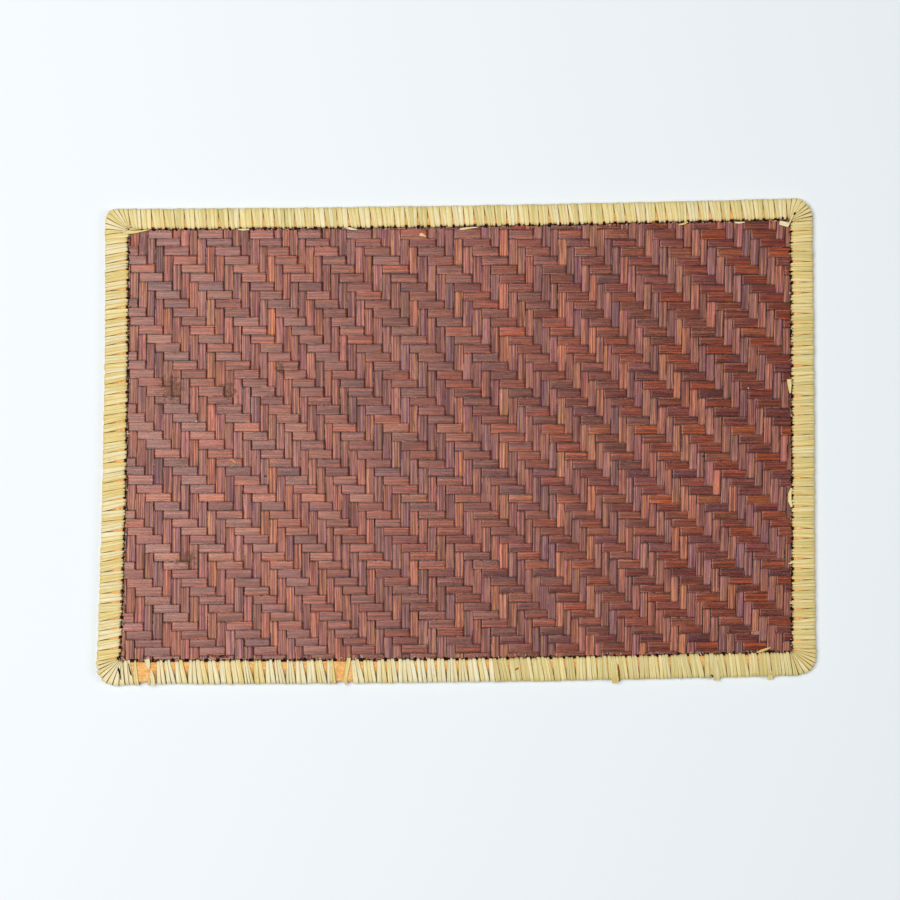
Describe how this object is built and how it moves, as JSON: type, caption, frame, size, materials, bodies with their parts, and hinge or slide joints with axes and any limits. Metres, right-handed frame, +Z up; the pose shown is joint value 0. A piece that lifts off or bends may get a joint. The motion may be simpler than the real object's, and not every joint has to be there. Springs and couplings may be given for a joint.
{
  "type": "bamboo placemat",
  "caption": "Flat rectangular placemat of twill-woven dyed bamboo strips, with a raised rim of slats wrapped in pale strand.",
  "frame": {"origin": "on the surface that the mat lies on, under the middle of its bounding box", "axes": "+X along the long edges to the right, +Y towards the back edge, +Z up"},
  "size_m": [0.4558, 0.301, 0.005],
  "materials": {
    "woven_strips": "dyed red-brown bamboo strips, satin along the fibre",
    "rim_slat": "bare orange-tan bamboo, matt",
    "binding_strand": "pale straw-yellow split strand, light sheen"
  },
  "bodies": {
    "root": {"woven_panel": "woven_strips", "slat_front": "rim_slat", "slat_right": "rim_slat", "slat_back": "rim_slat", "slat_left": "rim_slat", "binding_front": "binding_strand", "binding_front_corner": "binding_strand", "binding_right": "binding_strand", "binding_back": "binding_strand", "binding_left": "binding_strand"}
  },
  "joints": []
}
